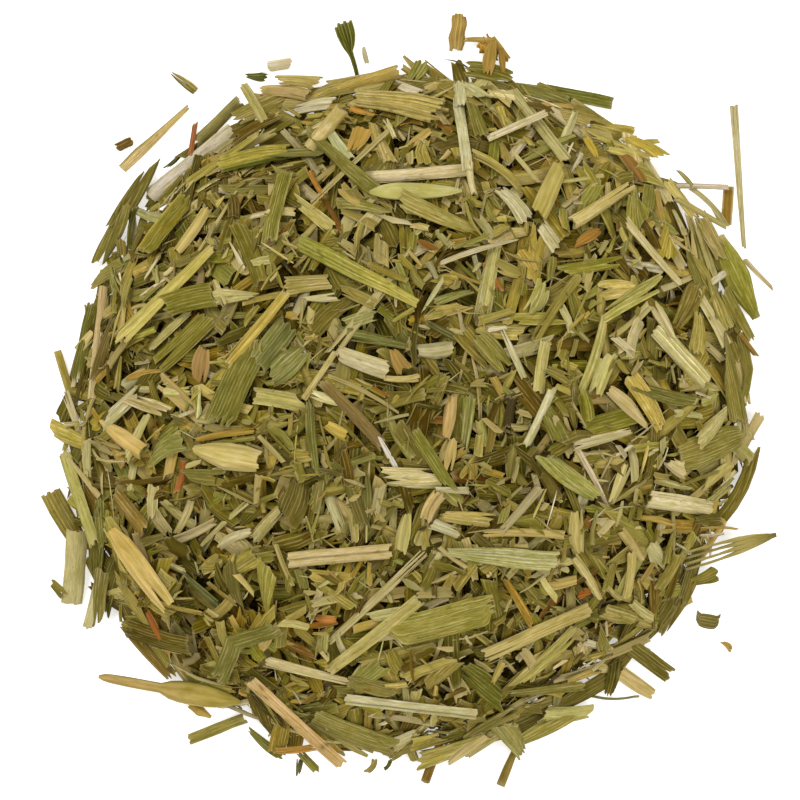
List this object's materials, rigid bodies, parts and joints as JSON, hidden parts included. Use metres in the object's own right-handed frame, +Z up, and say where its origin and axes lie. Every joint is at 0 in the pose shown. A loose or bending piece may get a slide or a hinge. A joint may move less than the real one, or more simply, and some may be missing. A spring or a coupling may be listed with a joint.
{
  "type": "heap of chopped straw",
  "caption": "Round, low heap of short cut and dried oat straw: split stems, ribbed leaf strips, husks and grains, poured out loose on a flat surface.",
  "frame": {"origin": "bottom centre of the box round the whole heap, on the surface that it lies on", "axes": "+Z up, the heap's height; +X and +Y lie in the surface under it, and +Y points to the top of the view from above"},
  "size_m": [0.121, 0.1276, 0.0262],
  "materials": {
    "mixed_cuts": "matte",
    "straw": "matte",
    "leaf": "matte",
    "husk": "matte",
    "dry_stalk": "matte"
  },
  "bodies": {
    "root": {"bright_leaf": "leaf", "broad_leaf": "leaf", "culm_tube": "straw", "curved_thread": "dry_stalk", "edge_leaf_01": "leaf", "edge_leaf_02": "leaf", "edge_leaf_03": "leaf", "edge_leaf_04": "leaf", "edge_leaf_05": "leaf", "edge_sheath": "leaf", "edge_stem": "straw", "folded_leaf": "leaf", "foot_stem_01": "dry_stalk", "foot_stem_02": "dry_stalk", "frayed_leaf": "leaf", "gold_floret": "husk", "green_glume": "husk", "grooved_culm": "straw", "leaf_strip_01": "leaf", "leaf_strip_02": "leaf", "leaf_strip_03": "leaf", "leaf_strip_04": "leaf", "long_stem": "straw", "packed_cuts": "mixed_cuts", "pale_glume": "husk", "pale_leaf": "leaf", "ribbed_leaf": "leaf", "ribbed_sheath": "leaf", "slim_floret": "husk", "split_culm_01": "straw", "split_culm_02": "straw", "split_culm_03": "straw", "split_culm_04": "straw", "split_culm_05": "straw", "split_culm_06": "straw", "split_culm_07": "straw", "split_culm_08": "straw", "split_culm_09": "straw", "split_culm_10": "straw", "split_culm_11": "straw", "split_culm_12": "straw", "split_culm_13": "straw", "split_culm_14": "straw", "split_culm_15": "straw", "split_culm_16": "straw", "split_culm_17": "straw", "stalked_floret": "husk", "stray_chip": "dry_stalk", "stray_culm": "straw", "stray_curled_husk": "husk", "stray_green_chip": "leaf", "stray_husk": "husk", "stray_husk_chip": "husk", "stray_leaf_flake": "leaf", "stray_leaf_tip": "leaf", "stray_long_stem": "straw", "stray_rolled_husk": "husk", "stray_splinter": "straw", "stray_stub": "dry_stalk", "torn_floret": "husk"}
  },
  "joints": []
}
